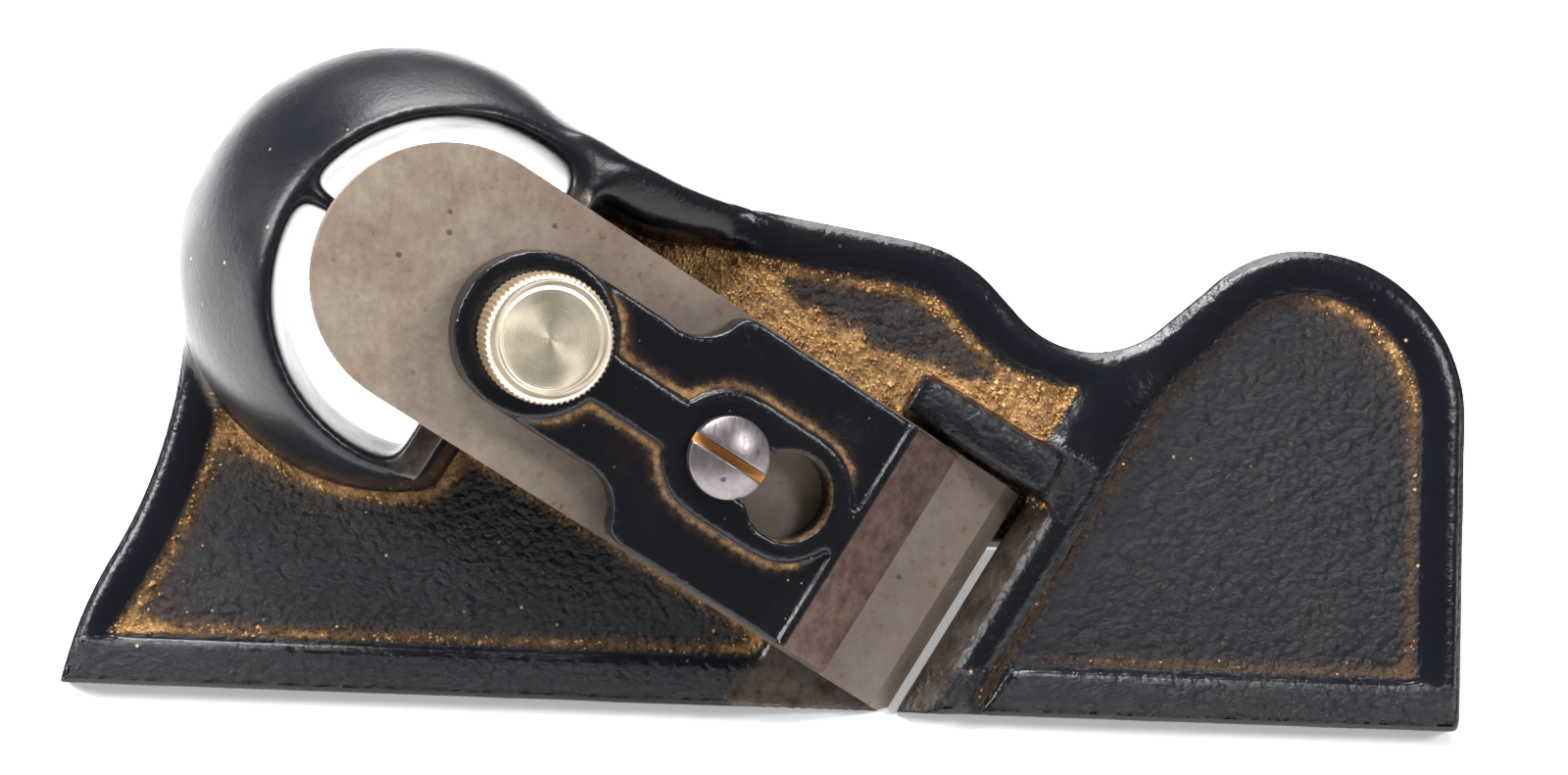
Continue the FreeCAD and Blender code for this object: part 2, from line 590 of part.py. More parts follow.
def lever_cap():
    """The lever cap, with its keyhole, spine, bosses and bare nose bevel."""
    body = doc.addObject("PartDesign::Body", "lever_cap")
    half = "(cutter_width / 2 - cap_inset)"
    neck = "cap_neck_width / 2"
    corner = "cap_shoulder_round"
    tail = "-thumb_back"
    plan = [
        ("-cap_nose", f"-{half}"),
        ("-cap_nose", half),
        (f"-cap_shoulder + {corner}", half),
        ("-cap_shoulder - 0.6", f"{half} - {corner} - 0.4", "2.2"),
        ("-cap_neck_start", neck, "-5.6"),
        (tail, neck),
        (f"{tail} - {neck}", "0", neck),
        (tail, f"-{neck}", neck),
        ("-cap_neck_start", f"-{neck}"),
        ("-cap_shoulder - 0.6", f"-{half} + {corner} + 0.4", "-5.6"),
        (f"-cap_shoulder + {corner}", f"-{half}", "2.2"),
    ]
    blank = body_sketch(body, "cap_blank", "XY_Plane")
    draw_outline(blank, plan)
    pad(body, blank, CAP_TOP)
    nose = body_sketch(body, "cap_nose", "XZ_Plane")
    draw_outline(nose, [
        ("-cap_nose + 1", "cap_nose_thick"),
        ("-cap_nose + 1", f"{CAP_TOP} + 1"),
        ("-cap_nose - cap_bevel", f"{CAP_TOP} + 1"),
        ("-cap_nose - cap_bevel", CAP_TOP),
        ("-cap_nose", "cap_nose_thick"),
    ])
    pocket(body, nose, "cutter_width + 2", middle=True)
    spine = "cap_spine_width / 2"
    panels = body_sketch(body, "cap_panels", "XY_Plane", CAP_TOP)
    wide = "(-cap_screw_back + keyhole_travel)"
    ring_chord = "sqrt(cap_ring_radius ^ 2 - (cap_spine_width / 2) ^ 2)"
    tail_chord = "sqrt((cap_neck_width / 2) ^ 2 - (cap_spine_width / 2) ^ 2)"
    panel_front = "-cap_nose - cap_bevel - cap_border"
    beyond = f"{half} + 1"
    for side, turn in (("", "-"), ("-", "")):
        draw_outline(panels, [
            (f"-cap_screw_back - {ring_chord}", f"{side}{spine}"),
            ("-cap_screw_back", f"{side}cap_ring_radius", f"{turn}cap_ring_radius"),
            (wide, f"{side}cap_ring_radius"),
            (f"{wide} + {ring_chord}", f"{side}{spine}", f"{turn}cap_ring_radius"),
            (panel_front, f"{side}{spine}"),
            (panel_front, f"{side}({beyond})"),
            (tail, f"{side}({beyond})"),
            (tail, f"{side}{neck}"),
            (f"{tail} + {tail_chord}", f"{side}{spine}", f"{turn}{neck}"),
        ])
    pocket(body, panels, "cap_relief")
    keyhole = body_sketch(body, "cap_keyhole", "XY_Plane", CAP_TOP)
    slot = "keyhole_slot / 2"
    mouth = f"{wide} - sqrt(keyhole_radius ^ 2 - (keyhole_slot / 2) ^ 2)"
    draw_outline(keyhole, [
        (mouth, f"-{slot}"),
        (wide, "-keyhole_radius", "keyhole_radius"),
        (f"{wide} + keyhole_radius", "0", "keyhole_radius"),
        (wide, "keyhole_radius", "keyhole_radius"),
        (mouth, slot, "keyhole_radius"),
        ("-cap_screw_back", slot),
        (f"-cap_screw_back - {slot}", "0", slot),
        ("-cap_screw_back", f"-{slot}", slot),
    ])
    pocket(body, keyhole, f"{CAP_TOP} + 1")
    thread = body_sketch(body, "cap_thread", "XY_Plane", CAP_TOP)
    draw_circle(thread, "-thumb_back", "0", "thumb_stud + thread_clearance")
    pocket(body, thread, f"{CAP_TOP} + 1")
    return body, BED.multiply(place(out="cutter_thick"))


def thumb_screw_head():
    """The thumb screw's head, turned, with a collar below and a shallow recess on top."""
    body = doc.addObject("PartDesign::Body", "thumb_screw_head")
    grip = "thumb_stud + thread_clearance"
    revolved(body, "thumb_half", [
        (grip, "0"),
        ("thumb_neck", "0"),
        ("thumb_neck", "thumb_gap"),
        ("thumb_radius - thumb_edge", "thumb_gap"),
        ("thumb_radius", "thumb_gap + thumb_edge"),
        ("thumb_radius", "thumb_gap + thumb_height - thumb_edge"),
        ("thumb_radius - thumb_edge", "thumb_gap + thumb_height"),
        ("thumb_dish_radius", "thumb_gap + thumb_height"),
        ("thumb_dish_radius - 0.3", "thumb_gap + thumb_height - thumb_dish"),
        ("0", "thumb_gap + thumb_height - thumb_dish"),
        ("0", "stud_grip"),
        (grip, "stud_grip"),
    ])
    return body, BED.multiply(place("-thumb_back", "0", f"cutter_thick + {CAP_TOP}"))


def thumb_screw_stud():
    """The thumb screw's threaded stud, which bears on the cutter."""
    body = doc.addObject("PartDesign::Body", "thumb_screw_stud")
    revolved(body, "stud_half", [
        ("0", "0"),
        ("thumb_stud - 0.5", "0"),
        ("thumb_stud", "0.5"),
        ("thumb_stud", f"{CAP_TOP} + stud_grip"),
        ("0", f"{CAP_TOP} + stud_grip"),
    ])
    return body, BED.multiply(place("-thumb_back", "0", "cutter_thick"))


def cap_screw():
    """The slotted screw that holds the lever cap down on the bed."""
    body = doc.addObject("PartDesign::Body", "cap_screw")
    bearing = f"(cutter_thick + {CAP_TOP})"
    ball = "((cap_screw_head ^ 2 + cap_screw_dome ^ 2) / (2 * cap_screw_dome))"
    revolved(body, "cap_screw_half", [
        ("0", "-cap_screw_depth"),
        ("cap_screw_shank - 0.6", "-cap_screw_depth"),
        ("cap_screw_shank", "-cap_screw_depth + 0.6"),
        ("cap_screw_shank", bearing),
        ("cap_screw_head", bearing),
        ("cap_screw_head", f"{bearing} + cap_screw_rim"),
        ("0", f"{bearing} + cap_screw_rim + cap_screw_dome", ball),
    ])
    top = f"{bearing} + cap_screw_rim + cap_screw_dome"
    slot = body_sketch(body, "cap_screw_slot", "XY_Plane", top)
    draw_outline(slot, [
        ("-cap_screw_head - 1", "-cap_screw_slot / 2"),
        ("cap_screw_head + 1", "-cap_screw_slot / 2"),
        ("cap_screw_head + 1", "cap_screw_slot / 2"),
        ("-cap_screw_head - 1", "cap_screw_slot / 2"),
    ])
    pocket(body, slot, "cap_screw_slot_deep + 0.6")
    return body, BED.multiply(place("-cap_screw_back"))


# Assembly: the plane stands as it is laid down, on the free edge of its sole and the far edge of its fence --------

pieces = {
    "plane_body": (casting(), place()),
    "cutter": cutter(),
    "lever_cap": lever_cap(),
    "thumb_screw_head": thumb_screw_head(),
    "thumb_screw_stud": thumb_screw_stud(),
    "cap_screw": cap_screw(),
}
lean = math.degrees(math.atan2(size("fence_depth"), size("sole_width")))
standing = FreeCAD.Placement(FreeCAD.Vector(), FreeCAD.Rotation(FreeCAD.Vector(1, 0, 0), lean))
for name, (piece, where) in pieces.items():
    piece.Label = name
    piece.Placement = standing.multiply(where)
doc.recompute()

for thing in doc.Objects:
    if {"Invalid", "Error"} & set(thing.State):
        raise RuntimeError(f"{thing.Name} failed: {thing.State}")
for name, (piece, where) in pieces.items():
    if piece.Shape.isNull() or not piece.Shape.isValid() or len(piece.Shape.Solids) != 1:
        raise RuntimeError(f"{name} isn't one valid solid")

# The origin is under the middle of the whole plane, on the table.
whole = Part.makeCompound([piece.Shape for piece, where in pieces.values()]).optimalBoundingBox(False, False)
middle = FreeCAD.Vector(-whole.Center.x, -whole.Center.y, -whole.ZMin)
for piece, where in pieces.values():
    piece.Placement = FreeCAD.Placement(middle, FreeCAD.Rotation()).multiply(piece.Placement)
doc.recompute()

os.makedirs("parts", exist_ok=True)
for name, (piece, where) in pieces.items():
    piece.Shape.exportStep(os.path.join("parts", f"{name}.step"))
    box_now = piece.Shape.BoundBox
    print(f"{name}: {piece.Shape.Volume / 1000:.2f} cm3, {box_now.XLength:.1f} x {box_now.YLength:.1f} x "
          f"{box_now.ZLength:.1f} mm")
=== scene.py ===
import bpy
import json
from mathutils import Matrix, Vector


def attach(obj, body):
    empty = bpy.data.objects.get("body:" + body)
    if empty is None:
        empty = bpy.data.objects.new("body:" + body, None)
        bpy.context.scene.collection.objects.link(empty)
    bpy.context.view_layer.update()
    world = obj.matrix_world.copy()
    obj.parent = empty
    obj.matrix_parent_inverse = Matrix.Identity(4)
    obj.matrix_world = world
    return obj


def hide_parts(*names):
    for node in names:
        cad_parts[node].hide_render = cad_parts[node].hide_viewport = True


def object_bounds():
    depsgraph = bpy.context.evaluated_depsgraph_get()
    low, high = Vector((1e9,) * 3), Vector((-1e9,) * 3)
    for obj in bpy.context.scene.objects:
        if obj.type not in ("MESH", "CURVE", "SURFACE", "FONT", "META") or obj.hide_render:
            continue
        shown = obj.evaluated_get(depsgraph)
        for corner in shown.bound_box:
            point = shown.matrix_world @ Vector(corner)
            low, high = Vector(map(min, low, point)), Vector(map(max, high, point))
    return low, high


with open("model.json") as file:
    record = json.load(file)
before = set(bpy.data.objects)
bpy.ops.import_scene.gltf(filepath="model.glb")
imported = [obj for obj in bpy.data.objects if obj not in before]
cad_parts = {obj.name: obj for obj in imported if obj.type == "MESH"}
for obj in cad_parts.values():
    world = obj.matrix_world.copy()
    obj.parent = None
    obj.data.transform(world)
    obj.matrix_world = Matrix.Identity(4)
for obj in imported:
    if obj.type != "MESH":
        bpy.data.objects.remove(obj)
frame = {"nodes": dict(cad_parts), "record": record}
CAD_BOX = [list(corner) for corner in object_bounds()]

import json
import math
import random

import bmesh
import bpy
import numpy as np
from mathutils import Matrix, Vector, noise

MM = 0.001

# Frames of the tool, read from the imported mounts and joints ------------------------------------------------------
# Tool frame: X heel to toe, Y up the broad face from the sole's free edge, Z out of the broad face (sole at 0).
# Bed frame: X down the bed to the mouth, Y across it, Z out of it, from the middle of the cutting edge.

MOUNTS = {mount["name"]: mount for mount in frame["record"]["mounts"]}
JOINTS = {joint["name"]: joint for joint in frame["record"]["behaviour"]["joints"]}
SOLE_POINT = (60.0, 9.0)        # where the sole's mount lies in the tool frame, in mm
CUTTER_THICK = 2.0
CAP_TOP = 6.4                   # bed to the top of the lever cap
CAP_NOSE_START = 16.4           # cutting edge to the top of the cap's nose bevel, along the bed
KEYHOLE_BACK = 24.7             # cutting edge to the keyhole's wide end
THUMB_BACK = 57.0               # cutting edge to the thumb screw
THUMB_RADIUS = 6.75
THUMB_GAP = 1.2                 # cap to the underside of the thumb screw's head
THUMB_HEIGHT = 6.8              # cap to the top of the head
THUMB_NECK = 3.6
THUMB_DISH_RADIUS = 5.3
THUMB_DISH_DEPTH = 0.3
RIDGES = 66                     # knurl ridges round the head
RIDGE_STEPS = 6                 # mesh steps to a ridge
KNURL = 0.22
PATCH_START = (80.5, 45.5)      # tool frame: the bare patch in the dust beside the cutter, one end and the other
PATCH_END = (100.0, 39.5)
LIMB_ROOT = (53.5, 61.0)        # tool frame: where the ring's upper limb runs into the top rim
BODY_VOXEL = 0.42
CAP_VOXEL = 0.2
SCREW_VOXEL = 0.11
CRUMBS = 6000


def tool_frame():
    """The tool frame's matrix in the row frame, in metres."""
    across = Vector((1, 0, 0))
    up = -Vector(MOUNTS["fence_face"]["axis"])
    out = -Vector(MOUNTS["sole"]["axis"])
    origin = Vector(MOUNTS["sole"]["pos_m"]) - across * SOLE_POINT[0] * MM - up * SOLE_POINT[1] * MM
    return Matrix((across, up, out)).transposed().to_4x4(), origin


def bed_frame():
    """The bed frame's matrix in the row frame, in metres."""
    down = Vector(JOINTS["cutter_slide"]["axis"])
    out = Vector(JOINTS["thumb_screw_turn"]["axis"])
    across = out.cross(down)
    origin = Vector(JOINTS["thumb_screw_turn"]["pos_m"]) + down * THUMB_BACK * MM - out * CAP_TOP * MM
    return Matrix((down, across, out)).transposed().to_4x4(), origin


def placed(rotation, origin):
    """One matrix from a rotation and an origin."""
    return Matrix.Translation(origin) @ rotation


TOOL = placed(*tool_frame())
BED = placed(*bed_frame())


def in_frame(points, matrix):
    """Points of the row frame, in metres, as millimetres of another frame."""
    inverse = np.array(matrix.inverted())
    return (points @ inverse[:3, :3].T + inverse[:3, 3]) / MM


# Mesh helpers ----------------------------------------------------------------------------------------------------

def keep(obj, name, body, slot, *nodes):
    """Name a made piece, ride it on its body and let it stand for its CAD nodes."""
    obj.name = name
    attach(obj, body)
    if nodes:
        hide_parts(*nodes)
    return obj


def new_object(name, mesh):
    """A mesh object in the scene."""
    obj = bpy.data.objects.new(name, mesh)
    bpy.context.scene.collection.objects.link(obj)
    return obj


def baked(obj):
    """Apply an object's modifiers to its mesh."""
    graph = bpy.context.evaluated_depsgraph_get()
    mesh = bpy.data.meshes.new_from_object(obj.evaluated_get(graph))
    obj.modifiers.clear()
    old = obj.data
    obj.data = mesh
    bpy.data.meshes.remove(old)
    return obj


def numbers(mesh, kind, width=3):
    """A mesh's vertex coordinates or normals as an array."""
    values = np.empty(len(mesh.vertices) * width, dtype=np.float32)
    mesh.vertices.foreach_get(kind, values)
    return values.reshape(-1, width).astype(float)


def put_points(mesh, points):
    """Write vertex coordinates back."""
    mesh.vertices.foreach_set("co", points.astype(np.float32).ravel())
    mesh.update()


def put_mask(mesh, name, values):
    """A named vertex value that a material can read."""
    layer = mesh.attributes.new(name, "FLOAT", "POINT")
    layer.data.foreach_set("value", values.astype(np.float32))


def edges_of(mesh):
    """A mesh's edges as pairs of vertex numbers."""
    pairs = np.empty(len(mesh.edges) * 2, dtype=np.int32)
    mesh.edges.foreach_get("vertices", pairs)
    return pairs.reshape(-1, 2)


def averaged(values, pairs, count, rounds=1):
    """Vertex values averaged with their neighbours, several times."""
    first, second = pairs[:, 0], pairs[:, 1]
    degree = np.bincount(first, minlength=count) + np.bincount(second, minlength=count)
    degree = np.maximum(degree, 1)
    flat = values.reshape(count, -1)
    for _ in range(rounds):
        spread = np.empty_like(flat)
        for column in range(flat.shape[1]):
            here = flat[:, column]
            spread[:, column] = (np.bincount(first, here[second], minlength=count)
                                 + np.bincount(second, here[first], minlength=count)) / degree
        flat = 0.5 * flat + 0.5 * spread
    return flat.reshape(values.shape)


def step(values, low, high):
    """A smooth step from 0 at low to 1 at high."""
    ratio = np.clip((values - low) / (high - low), 0, 1)
    return ratio * ratio * (3 - 2 * ratio)


def near(values, middle, half, soft):
    """1 within half of middle, falling to 0 over soft."""
    return 1 - step(np.abs(values - middle), half, half + soft)


def lumps(points, scale, seed):
    """Smooth noise of about -1 to 1 at points in mm, with lumps of a size in mm."""
    shift = Vector((seed * 7.3, seed * 3.1, seed * 5.7))
    return np.array([noise.noise(Vector(point) / scale + shift) for point in points.tolist()])


def remeshed(node, name, voxel, matrix):
    """A dense even copy of a CAD node, its grid lying along another frame."""
    obj = new_object(name, frame["nodes"][node].data.copy())
    obj.data.transform(matrix.inverted())
    obj.data.materials.clear()
    remesh = obj.modifiers.new("remesh", "REMESH")
    remesh.mode = "VOXEL"
    remesh.voxel_size = voxel * MM
    remesh.adaptivity = 0
    remesh.use_smooth_shade = True
    baked(obj).data.transform(matrix)
    return obj


# Casting ---------------------------------------------------------------------------------------------------------

def machined_faces(tool, bed, facing):
    """Where the casting is ground bare: sole, fence face and bed."""
    across, up, out = tool.T
    sole = step(-facing[:, 2], 0.9, 0.99) * near(out, 0, 0.15, 0.2) * step(-up, -19.3, -18.8)
    fence = step(-facing[:, 1], 0.9, 0.99) * near(up, 19.05, 0.15, 0.2) * step(-out, 0, 0.4)
    seat = near(bed[:, 2], 0, 0.12, 0.15) * near(bed[:, 1], -5, 20, 1) * near(bed[:, 0], -30, 30, 2)
    return np.maximum(np.maximum(sole, fence), seat)


def dust_over(tool, bed, field, cavity, wide_cavity, front):
    """How thick the saw dust lies: deep in the corners, thick beside the cutter, thin towards the toe."""
    across, up, out = tool.T
    beside = field * step(bed[:, 1], 13, 14.5) * step(-bed[:, 0], -2.5, -0.5)
    start, end = np.array(PATCH_START), np.array(PATCH_END)
    line = end - start
    flat = np.stack((across, up), 1) - start
    along = np.clip(flat @ line / (line @ line), 0, 1)
    off = np.linalg.norm(flat - along[:, None] * line, axis=1) + 2.4 * lumps(tool, 4.2, 8) + 1.5 * lumps(tool, 1.6, 9)
    beside = beside * (0.12 + 0.88 * step(off, 1.6, 4.6))
    heel = step(-across, -50, -12)
    toe = step(across, 106, 112)
    toe_edge = toe * step(across + 0.9 * up, 168, 182)
    bar_foot = near(bed[:, 0], 9.5, 2.5, 2.0) * step(across, 88, 92)
    reach = 0.12 + 0.36 * heel * (1 - toe) + 0.45 * toe_edge
    corners = (cavity * (0.62 - 0.3 * toe * (1 - toe_edge)) + wide_cavity * reach) * (1 - 0.85 * bar_foot)
    return np.clip(corners * front * step(-out, -7, -4) + beside, 0, 1)


def make_body():
    """The iron body: soft cast edges, pebbled fields, and masks for dust, bare iron and worn edges."""
    obj = remeshed("plane_body", "body_casting", BODY_VOXEL, TOOL)
    mesh = obj.data
    count = len(mesh.vertices)
    pairs = edges_of(mesh)
    points = numbers(mesh, "co")
    tool = in_frame(points, TOOL)
    bed = in_frame(points, BED)
    facing = numbers(mesh, "normal") @ np.array(TOOL.to_3x3())
    across, up, out = tool.T

    machined = np.clip(averaged(machined_faces(tool, bed, facing), pairs, count, 2), 0, 1)
    by_mouth = near(bed[:, 0], 1.5, 2.0, 1.5) * step(-out, -5.0, -3.5)
    free = (1 - machined) * (1 - 0.85 * by_mouth) * (0.25 + 0.75 * step(out, 0.6, 2.4))
    ring = step(-bed[:, 0], 56.5, 60.5) * step(out, 5.3, 6.8)
    limbs = step(out, 5.3, 6.3) * step(-bed[:, 0], 30, 36)
    lug = step(out, 4.2, 5.4) * near(bed[:, 0], -7, 10, 1) * near(bed[:, 1], 17.3, 3.2, 0.5)
    rims = np.maximum(step(out, 3.7, 4.4) * (1 - ring) * (1 - step(out, 5.3, 6.2)), lug)
    soft = averaged(points, pairs, count, 10)
    softer = averaged(soft, pairs, count, 56)
    root = 1 - step(np.hypot(across - LIMB_ROOT[0], up - LIMB_ROOT[1]), 5, 11)
    shift = (soft - points) + (softer - soft) * (0.85 * np.maximum(rims, limbs))[:, None]
    length = np.linalg.norm(shift, axis=1) / MM
    shift = shift * np.minimum(1, 0.85 / np.maximum(length, 1e-6))[:, None]
    points = points + shift * free[:, None]
    points = points + (averaged(points, pairs, count, 110) - points) * root[:, None]
    put_points(mesh, points)
    normals = numbers(mesh, "normal")
    spread = averaged(points, pairs, count, 24)
    hollow = np.einsum("ij,ij->i", spread - points, normals) / MM

    smooth_cast = np.maximum(ring, step(out, 5.4, 6.4))
    field = step(facing[:, 2], 0.6, 0.9) * near(out, 3.6, 0.35, 0.5)
    lower_band = step(-up, -5.2, -4.2) * step(facing[:, 2], 0.5, 0.8)
    hidden = 0.35 * step(-out, 0.5, 1.5)
    rough_cast = np.maximum(np.maximum(field, 0.9 * lower_band), np.maximum(0.3 * lug, hidden))
    pebbled = np.clip(0.1 + 0.9 * rough_cast, 0, 1) * (1 - 0.7 * smooth_cast * (1 - lug)) * (1 - machined)
    pebble = 0.6 * lumps(tool, 1.5, 1) + 0.4 * lumps(tool, 0.8, 2)
    swell = lumps(tool, 7.0, 3)
    depth = 0.24 * pebbled * (pebble - 0.75) + 0.06 * (1 - machined) * (swell - 0.8) * (1 - by_mouth)
    points = points + normals * (np.minimum(depth, 0) * MM)[:, None]
    low, high = (np.array(corner) for corner in CAD_BOX)
    put_points(mesh, np.clip(points, low, high))

    front = step(facing[:, 2], -0.2, 0.3)
    cavity = step(hollow, 0.03, 0.16) * front
    wide_cavity = np.clip(2.4 * averaged(cavity, pairs, count, 160), 0, 1) * field
    dust = dust_over(tool, bed, field, cavity, wide_cavity, front)
    put_mask(mesh, "dust", averaged(dust, pairs, count, 3))
    put_mask(mesh, "cavity", averaged(cavity, pairs, count, 2))
    put_mask(mesh, "ridge", step(-hollow, 0.06, 0.25))
    put_mask(mesh, "machined", machined)
    put_mask(mesh, "pebbled", pebbled)
    put_mask(mesh, "satin", averaged(np.maximum(ring, 0.4 * limbs), pairs, count, 6))
    flank = by_mouth * step(facing[:, 2], 0.1, 0.3) * step(-out, -4.9, -4.2) * near(bed[:, 1], -1, 17, 1)
    put_mask(mesh, "bare", averaged(flank, pairs, count, 2))
    return keep(obj, "body_casting", "casting", "japanned_iron", "plane_body"), dust


def make_crumbs(body, dust):
    """Loose grains of saw dust, lying where the dust is thick."""
    rng = np.random.default_rng(5)
    mesh = body.data
    points = numbers(mesh, "co")
    normals = numbers(mesh, "normal")
    weight = np.clip(dust, 0, 1) ** 3
    chosen = rng.choice(len(points), CRUMBS, p=weight / weight.sum())
    corners, faces = [], []
    octahedron = np.array([(1, 0, 0), (0, 1, 0), (-1, 0, 0), (0, -1, 0), (0, 0, 1), (0, 0, -1)], dtype=float)
    sides = [(0, 1, 4), (1, 2, 4), (2, 3, 4), (3, 0, 4), (1, 0, 5), (2, 1, 5), (3, 2, 5), (0, 3, 5)]
    low, high = (np.array(corner) for corner in CAD_BOX)
    for vertex in chosen:
        radius = rng.uniform(0.06, 0.2) * (2.0 if rng.random() < 0.04 else 1.0)
        shape = octahedron * rng.uniform(0.6, 1.3, (6, 1)) * radius * rng.uniform(0.7, 1.4, 3)
        middle = points[vertex] + normals[vertex] * radius * 0.25 * MM + rng.uniform(-0.3, 0.3, 3) * MM
        start = len(corners)
        corners.extend(np.clip(shape * MM + middle, low, high).tolist())
        faces.extend([tuple(start + index for index in side) for side in sides])
    grains = bpy.data.meshes.new("dust_grains")
    grains.from_pydata(corners, [], faces)
    return keep(new_object("dust_grains", grains), "dust_grains", "casting", "japanned_iron")


# Lever cap and screws --------------------------------------------------------------------------------------------

def make_cap():
    """The lever cap: soft cast relief, bare worn nose, dust beside the spine and bosses."""
    obj = remeshed("lever_cap", "cap_casting", CAP_VOXEL, BED)
    mesh = obj.data
    count = len(mesh.vertices)
    pairs = edges_of(mesh)
    points = numbers(mesh, "co")
    bed = in_frame(points, BED)
    facing = numbers(mesh, "normal") @ np.array(BED.to_3x3())
    top = bed[:, 2] - CUTTER_THICK
    nose = step(bed[:, 0], -CAP_NOSE_START - 0.5, -CAP_NOSE_START + 0.3)
    relief = step(facing[:, 2], -0.1, 0.2) * step(top, 2.6, 3.2) * (1 - nose)
    soft = averaged(points, pairs, count, 5)
    softer = averaged(soft, pairs, count, 22)
    low_edge = step(top, 0.3, 1.0)
    points = points + (soft - points) * low_edge[:, None] + (softer - soft) * (0.8 * relief)[:, None]
    put_points(mesh, points)
    normals = numbers(mesh, "normal")
    hollow = np.einsum("ij,ij->i", averaged(points, pairs, count, 30) - points, normals) / MM
    swell = lumps(bed, 2.4, 4)
    depth = np.minimum(0.04 * (1 - nose) * (swell - 0.7), 0)
    low, high = (np.array(corner) for corner in CAD_BOX)
    put_points(mesh, np.clip(points + normals * (depth * MM)[:, None], low, high))
    cavity = step(hollow, 0.02, 0.09) * step(facing[:, 2], 0.1, 0.6)
    keyhole = near(np.hypot(bed[:, 0] + KEYHOLE_BACK, bed[:, 1]), 4.75, 0.35, 0.5) * step(top, 0.5, 4.2)
    cavity = cavity * step(-bed[:, 0], CAP_NOSE_START + 2.0, CAP_NOSE_START + 4.0)
    spread = np.clip(2.2 * averaged(cavity, pairs, count, 60), 0, 1) * step(facing[:, 2], 0.7, 0.95)
    dust = np.clip(0.42 * cavity + 0.4 * spread + 0.6 * keyhole * step(-facing[:, 2], -0.9, -0.2), 0, 1)
    put_mask(mesh, "dust", averaged(dust * (1 - nose), pairs, count, 2))
    put_mask(mesh, "cavity", cavity)
    put_mask(mesh, "ridge", step(-hollow, 0.03, 0.12))
    put_mask(mesh, "nose", step(bed[:, 0], -CAP_NOSE_START - 0.15, -CAP_NOSE_START + 0.15))
    put_mask(mesh, "pebbled", np.full(count, 0.1))
    put_mask(mesh, "satin", np.zeros(count))
    return keep(obj, "cap_casting", "cap", "japanned_cap", "lever_cap")


def turned(name, profile, spokes, ridge=None):
    """A turned piece about Z from (radius, height) pairs in mm, with ridges where ridge(index) says how deep."""
    bm = bmesh.new()
    rings = []
    for index, (radius, height) in enumerate(profile):
        deep = ridge(index) if ridge else 0.0
        ring = []
        for spoke in range(spokes):
            angle = 2 * math.pi * spoke / spokes
            cut = deep * (0.5 + 0.5 * math.cos(angle * spokes / RIDGE_STEPS))
            reach = radius - cut
            ring.append(bm.verts.new((reach * math.cos(angle) * MM, reach * math.sin(angle) * MM, height * MM)))
        rings.append(ring)
    for lower, upper in zip(rings, rings[1:]):
        for spoke in range(spokes):
            after = (spoke + 1) % spokes
            bm.faces.new((lower[spoke], lower[after], upper[after], upper[spoke]))
    bm.faces.new(list(reversed(rings[0])))
    bm.faces.new(rings[-1])
    mesh = bpy.data.meshes.new(name)
    bm.to_mesh(mesh)
    bm.free()
    return new_object(name, mesh)


def make_thumb_head():
    """The thumb screw's head: straight knurl, chamfered edges and a turned top with a shallow rim."""
    radius, height, gap = THUMB_RADIUS, THUMB_HEIGHT, THUMB_GAP
    neck = THUMB_NECK
    dish, deep = THUMB_DISH_RADIUS, THUMB_DISH_DEPTH
    profile = [
        (neck, 0.02), (neck, gap), (radius - 0.5, gap), (radius - 0.05, gap + 0.45),
        (radius, gap + 0.6), (radius, height - 0.75), (radius - 0.05, height - 0.6), (radius - 0.35, height - 0.2),
        (radius - 0.62, height - 0.03), (radius - 0.8, height), (dish + 0.25, height), (dish + 0.1, height - 0.05),
        (dish - 0.1, height - deep + 0.05), (dish - 0.3, height - deep), (dish * 0.66, height - deep),
        (dish * 0.33, height - deep), (0.12, height - deep),
    ]
    knurled = {3: 0.5, 4: 1.0, 5: 1.0, 6: 0.7, 7: 0.2}
    spokes = RIDGES * RIDGE_STEPS
    obj = turned("thumb_head", profile, spokes, lambda index: KNURL * knurled.get(index, 0.0))
    obj.matrix_world = BED @ Matrix.Translation(Vector((-THUMB_BACK, 0, CAP_TOP)) * MM)
    for face in obj.data.polygons:
        face.use_smooth = True
    return keep(obj, "thumb_head", "thumb_head", "nickel", "thumb_screw_head")


def make_cap_screw():
    """The cap screw with softened edges and dust packed in its slot."""
    obj = remeshed("cap_screw", "cap_bolt", SCREW_VOXEL, BED)
    mesh = obj.data
    count = len(mesh.vertices)
    pairs = edges_of(mesh)
    points = numbers(mesh, "co")
    points = averaged(points, pairs, count, 4)
    put_points(mesh, points)
    bed = in_frame(points, BED)
    side = np.abs(bed[:, 1])
    put_mask(mesh, "dust", near(side, 0, 0.42, 0.15) * step(-bed[:, 2], -8.5, -8.1) * step(bed[:, 2], 6.7, 7.0))
    put_mask(mesh, "nose", np.zeros(count))
    return keep(obj, "cap_bolt", "cap_bolt", "screw_steel", "cap_screw")


# Materials -------------------------------------------------------------------------------------------------------

